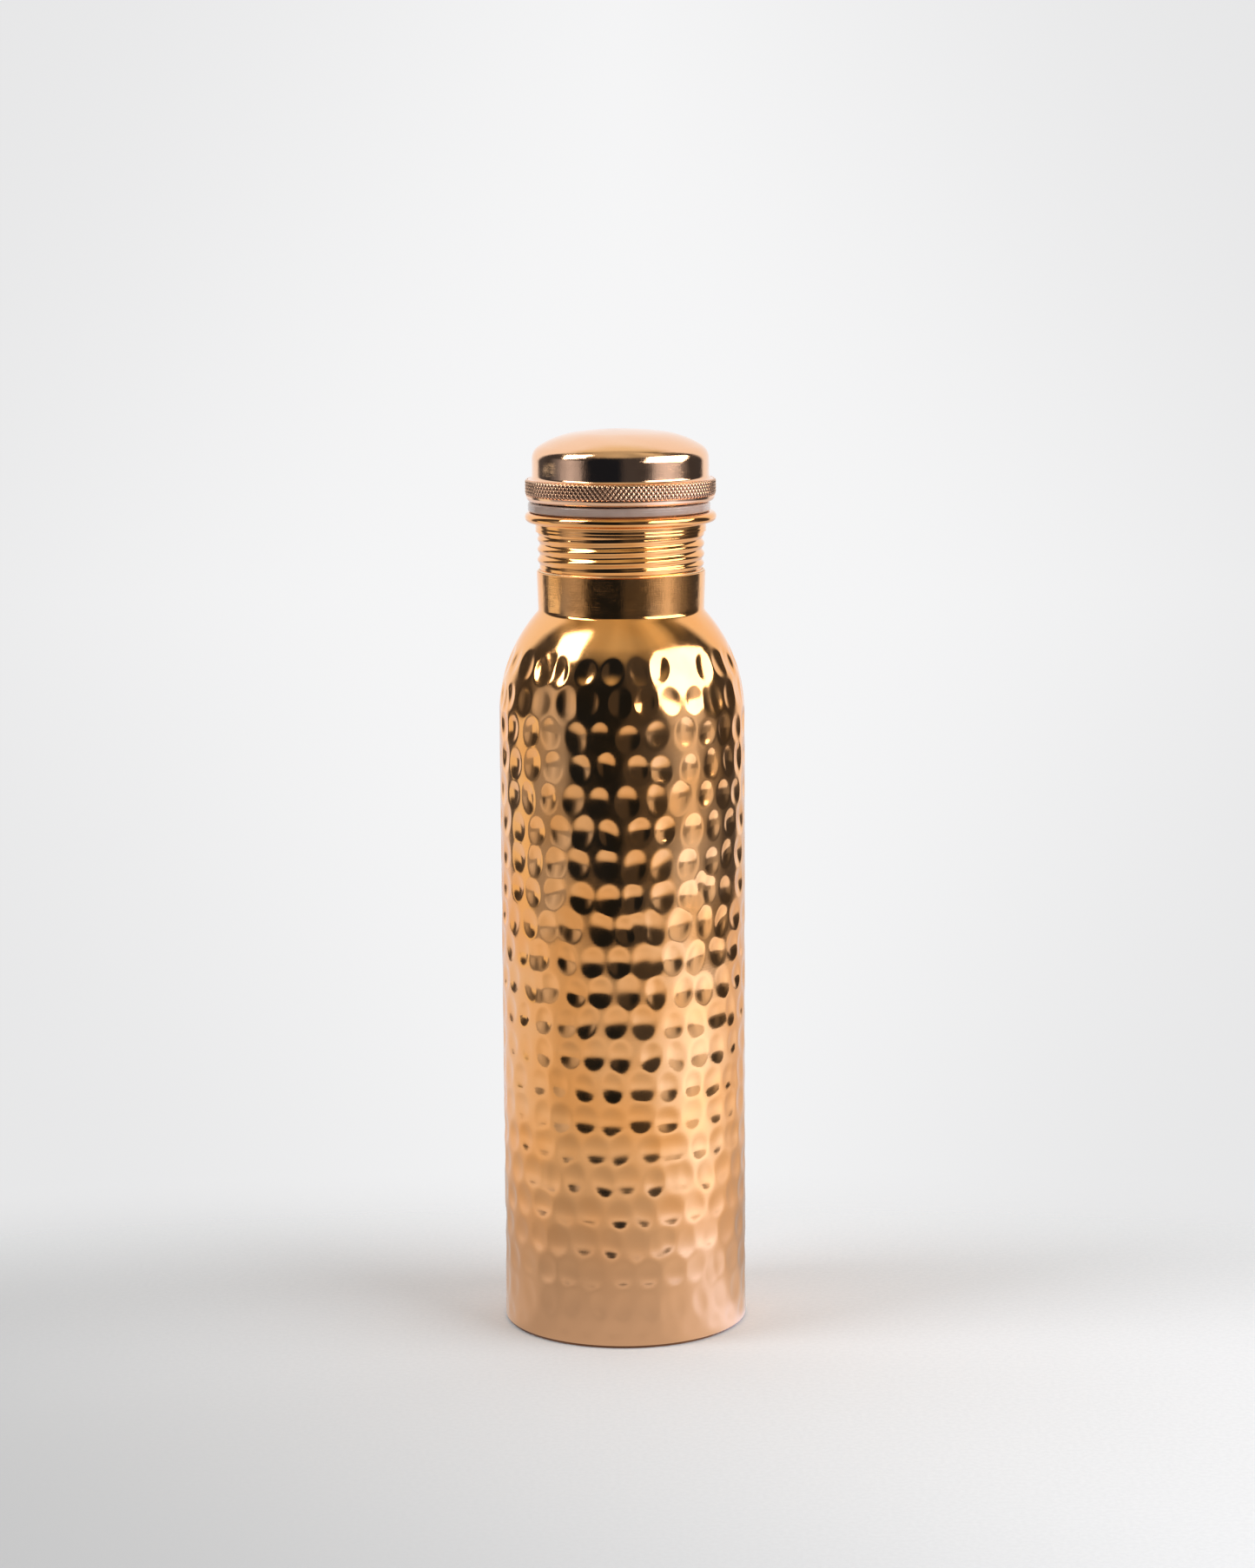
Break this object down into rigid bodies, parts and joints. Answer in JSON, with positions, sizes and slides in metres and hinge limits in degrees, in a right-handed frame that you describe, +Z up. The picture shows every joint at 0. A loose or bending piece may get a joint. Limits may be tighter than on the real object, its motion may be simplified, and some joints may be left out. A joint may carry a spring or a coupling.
{
  "type": "water bottle",
  "caption": "Hammered copper water bottle with a rolled screw neck, a silicone seal and a domed screw cap with a knurled grip band.",
  "frame": {"origin": "on the bottle's axis, in the plane of the standing ring under the base", "axes": "+Z up along the bottle's axis, towards the cap"},
  "size_m": [0.073, 0.073, 0.2692],
  "materials": {
    "hammered_copper": "hand-hammered, polished and lacquered",
    "plain_copper": "polished, with fine turning marks",
    "knurled_copper": "diamond knurled",
    "braze": "wiped filler metal",
    "silicone": "matte translucent white"
  },
  "bodies": {
    "bottle": {"body_shell": "hammered_copper", "base_plate": "plain_copper", "base_braze_ring": "braze", "neck_ferrule": "plain_copper", "neck_braze_ring": "braze"},
    "seal": {"seal_ring": "silicone"},
    "cap": {"cap_grip_ring": "knurled_copper", "cap_dome": "plain_copper", "cap_plug": "plain_copper", "plug_braze_ring": "braze", "dome_braze_ring": "braze"}
  },
  "joints": [
    {"name": "cap_rise", "type": "slide", "parent": "bottle", "child": "seal", "axis": [0, 0, 1], "range_m": [0, 0.02456]},
    {"name": "cap_unscrew", "type": "hinge", "parent": "seal", "child": "cap", "pos_m": [0, 0, 0.245], "axis": [0, 0, 1], "range_deg": [0, 2880]}
  ],
  "couplings": [
    {"joint": "cap_rise", "follows": "cap_unscrew", "m_per_rad": 0.00048861}
  ]
}
